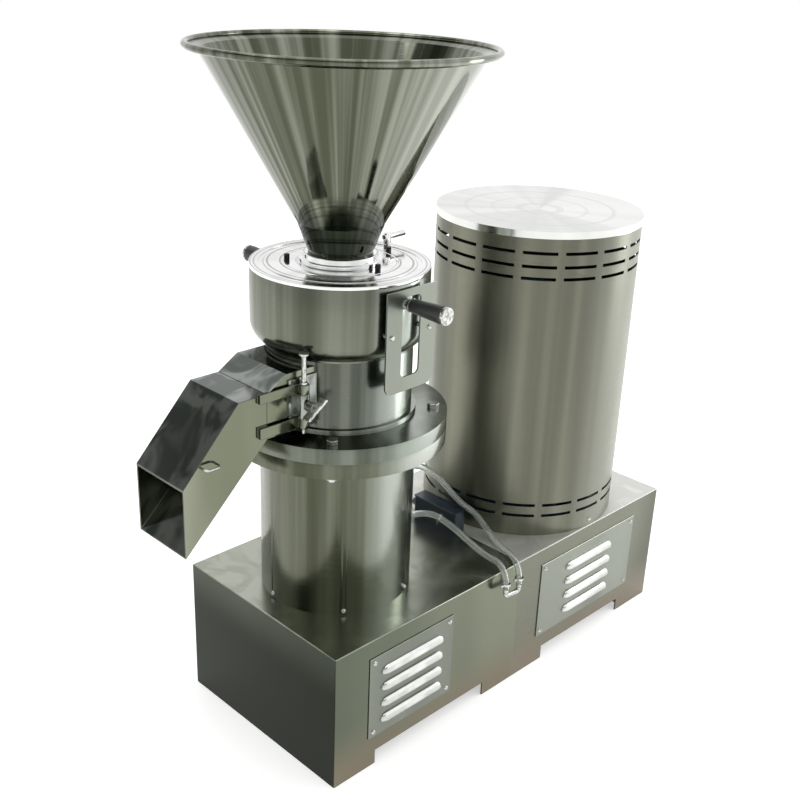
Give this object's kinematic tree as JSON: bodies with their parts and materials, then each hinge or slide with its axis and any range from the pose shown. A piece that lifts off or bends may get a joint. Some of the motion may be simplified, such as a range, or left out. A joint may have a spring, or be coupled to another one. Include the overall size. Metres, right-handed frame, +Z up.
{
  "type": "peanut butter machine",
  "caption": "Belt-driven vertical colloid mill for nut paste: folded steel base, slotted motor cover, grinding head with locking handles, conical hopper and side discharge chute.",
  "frame": {"origin": "centre of the overall outline on the floor, under the mill and motor axes' line", "axes": "+X from the mill to the motor, -Y the side with the louvred panels, +Z up"},
  "size_m": [1.1082, 0.484, 1.1865],
  "materials": {
    "base_steel": "polished folded stainless sheet",
    "frame_steel": "grey primer",
    "panel_steel": "satin stainless sheet",
    "screw_steel": "bright zinc or stainless",
    "polished_steel": "turned and polished stainless",
    "cast_iron": "machined cast iron",
    "bearing_steel": "ground steel",
    "seal_rubber": "matt",
    "shaft_steel": "ground stainless",
    "belt_rubber": "matt",
    "lid_steel": "mirror polished stainless",
    "hopper_steel": "mirror polished stainless",
    "duct_steel": "polished folded stainless sheet",
    "black_grip": "satin black",
    "motor_paint": "hammered blue enamel",
    "cover_steel": "brushed stainless",
    "blue_paint": "gloss dark blue",
    "clear_hose": "clear flexible tube"
  },
  "bodies": {
    "base": {"base_shell_mill": "base_steel", "base_shell_motor": "base_steel", "base_frame": "frame_steel", "louvre_panel_mill": "panel_steel", "louvre_panel_motor": "panel_steel", "panel_screws": "screw_steel", "column": "polished_steel", "column_screws": "screw_steel", "bearing_housing": "cast_iron", "spindle_bearing_upper": "bearing_steel", "spindle_bearing_lower": "bearing_steel", "mill_body": "polished_steel", "flange_bolts": "screw_steel", "flange_nuts": "screw_steel", "spindle_seal": "seal_rubber", "v_belts": "belt_rubber", "outlet_stub": "duct_steel", "hinge_plate": "panel_steel", "motor_frame": "motor_paint", "motor_stator_core": "shaft_steel", "motor_flange": "motor_paint", "motor_end_shield": "motor_paint", "motor_bearings": "bearing_steel", "motor_fan_cowl": "motor_paint", "motor_cover": "cover_steel", "motor_cover_lid": "lid_steel", "cover_screws": "screw_steel", "junction_box": "blue_paint", "hose_nozzles": "screw_steel", "supply_hose": "clear_hose", "return_hose": "clear_hose", "hose_joiner": "screw_steel", "hose_clamps": "screw_steel"},
    "spindle_set": {"spindle": "shaft_steel", "slinger": "shaft_steel", "rotor": "shaft_steel", "feed_screw": "shaft_steel", "spindle_pulley": "cast_iron"},
    "motor_rotor": {"motor_shaft": "shaft_steel", "motor_pulley": "cast_iron", "motor_fan": "black_grip"},
    "grinding_head": {"stator": "shaft_steel", "stator_holder": "polished_steel", "lid": "lid_steel", "collar": "lid_steel", "lid_bolts": "screw_steel", "lid_nozzle": "lid_steel"},
    "drum": {"adjusting_drum": "polished_steel", "guard_plate": "panel_steel", "guard_screws": "screw_steel"},
    "front_handle": {"handle_rod_front": "screw_steel", "handle_grip_front": "black_grip"},
    "rear_handle": {"handle_rod_rear": "screw_steel", "handle_grip_rear": "black_grip"},
    "hopper_unit": {"hopper": "hopper_steel"},
    "chute_unit": {"chute": "duct_steel", "chute_clip": "screw_steel"},
    "drop_pin": {"chute_pin": "screw_steel"},
    "wing_screw": {"lock_screw": "screw_steel"}
  },
  "joints": [
    {"name": "motor_spin", "type": "hinge", "parent": "base", "child": "motor_rotor", "pos_m": [0.3161, 0, 0], "axis": [0, 0, 1], "continuous": true},
    {"name": "spindle_spin", "type": "hinge", "parent": "base", "child": "spindle_set", "pos_m": [-0.1945, 0, 0], "axis": [0, 0, 1], "continuous": true},
    {"name": "head_lift", "type": "slide", "parent": "base", "child": "grinding_head", "axis": [0, 0, 1], "range_m": [-0.0003, 0.0012]},
    {"name": "drum_turn", "type": "hinge", "parent": "grinding_head", "child": "drum", "pos_m": [-0.1945, 0, 0], "axis": [0, 0, 1], "range_deg": [-20, 100]},
    {"name": "front_handle_turn", "type": "hinge", "parent": "drum", "child": "front_handle", "pos_m": [-0.18934, -0.14791, 0.812], "axis": [0.0349, -0.9994, 0], "range_deg": [-180, 180]},
    {"name": "rear_handle_turn", "type": "hinge", "parent": "drum", "child": "rear_handle", "pos_m": [-0.19967, 0.14791, 0.812], "axis": [-0.0349, 0.9994, 0], "range_deg": [-180, 180]},
    {"name": "hopper_lift", "type": "slide", "parent": "grinding_head", "child": "hopper_unit", "axis": [0, 0, 1], "range_m": [0, 0.12]},
    {"name": "chute_swing", "type": "hinge", "parent": "base", "child": "chute_unit", "pos_m": [-0.3339, -0.0745, 0.655], "axis": [0, 0, 1], "range_deg": [0, 80]},
    {"name": "drop_pin_lift", "type": "slide", "parent": "base", "child": "drop_pin", "axis": [0, 0, 1], "range_m": [0, 0.1]},
    {"name": "wing_screw_turn", "type": "hinge", "parent": "base", "child": "wing_screw", "pos_m": [-0.3339, -0.0788, 0.658], "axis": [0, -1, 0], "range_deg": [-180, 180]}
  ],
  "couplings": [
    {"joint": "spindle_spin", "follows": "motor_spin", "ratio": 1.0857},
    {"joint": "head_lift", "follows": "drum_turn", "m_per_rad": 0.00063662}
  ]
}
